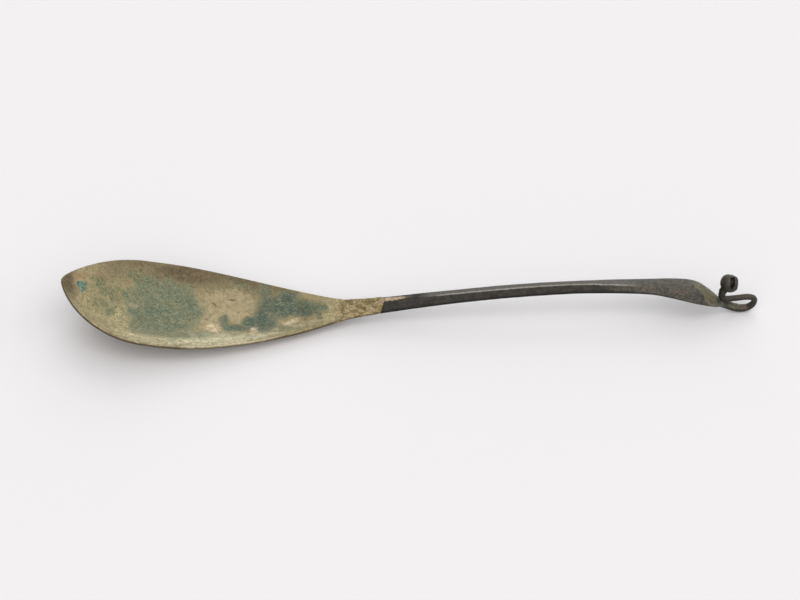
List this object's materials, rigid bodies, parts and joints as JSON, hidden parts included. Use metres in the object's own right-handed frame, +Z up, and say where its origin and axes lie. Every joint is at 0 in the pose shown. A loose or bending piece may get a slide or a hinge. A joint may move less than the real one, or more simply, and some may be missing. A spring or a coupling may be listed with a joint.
{
  "type": "table spoon",
  "caption": "Long-handled bronze spoon: leaf-shaped sheet bowl, faceted stem that flattens to a leaf, then a bent wire loop ending in a small round bud.",
  "frame": {"origin": "middle of the spoon's length and width, on the plane that it rests on", "axes": "+X from the bowl's tip to the end of the loop, +Y across the bowl, +Z up, out of the bowl's hollow"},
  "size_m": [0.2704, 0.0464, 0.0237],
  "materials": {
    "patinated_bronze": "aged bronze, matt beige-green patina with dark teal and bare pale patches",
    "dark_bronze": "dark brown-black bronze, worn semi-gloss on the facets",
    "pale_solder": "pale cream solder, rough and matt",
    "grey_solder": "dull blue-grey solder"
  },
  "bodies": {
    "root": {"bowl": "patinated_bronze", "neck_solder": "pale_solder", "stem": "dark_bronze", "tip_solder": "grey_solder", "loop_wire": "dark_bronze", "bud_calyx": "dark_bronze", "bud_cap": "dark_bronze", "bud_solder": "grey_solder"}
  },
  "joints": []
}
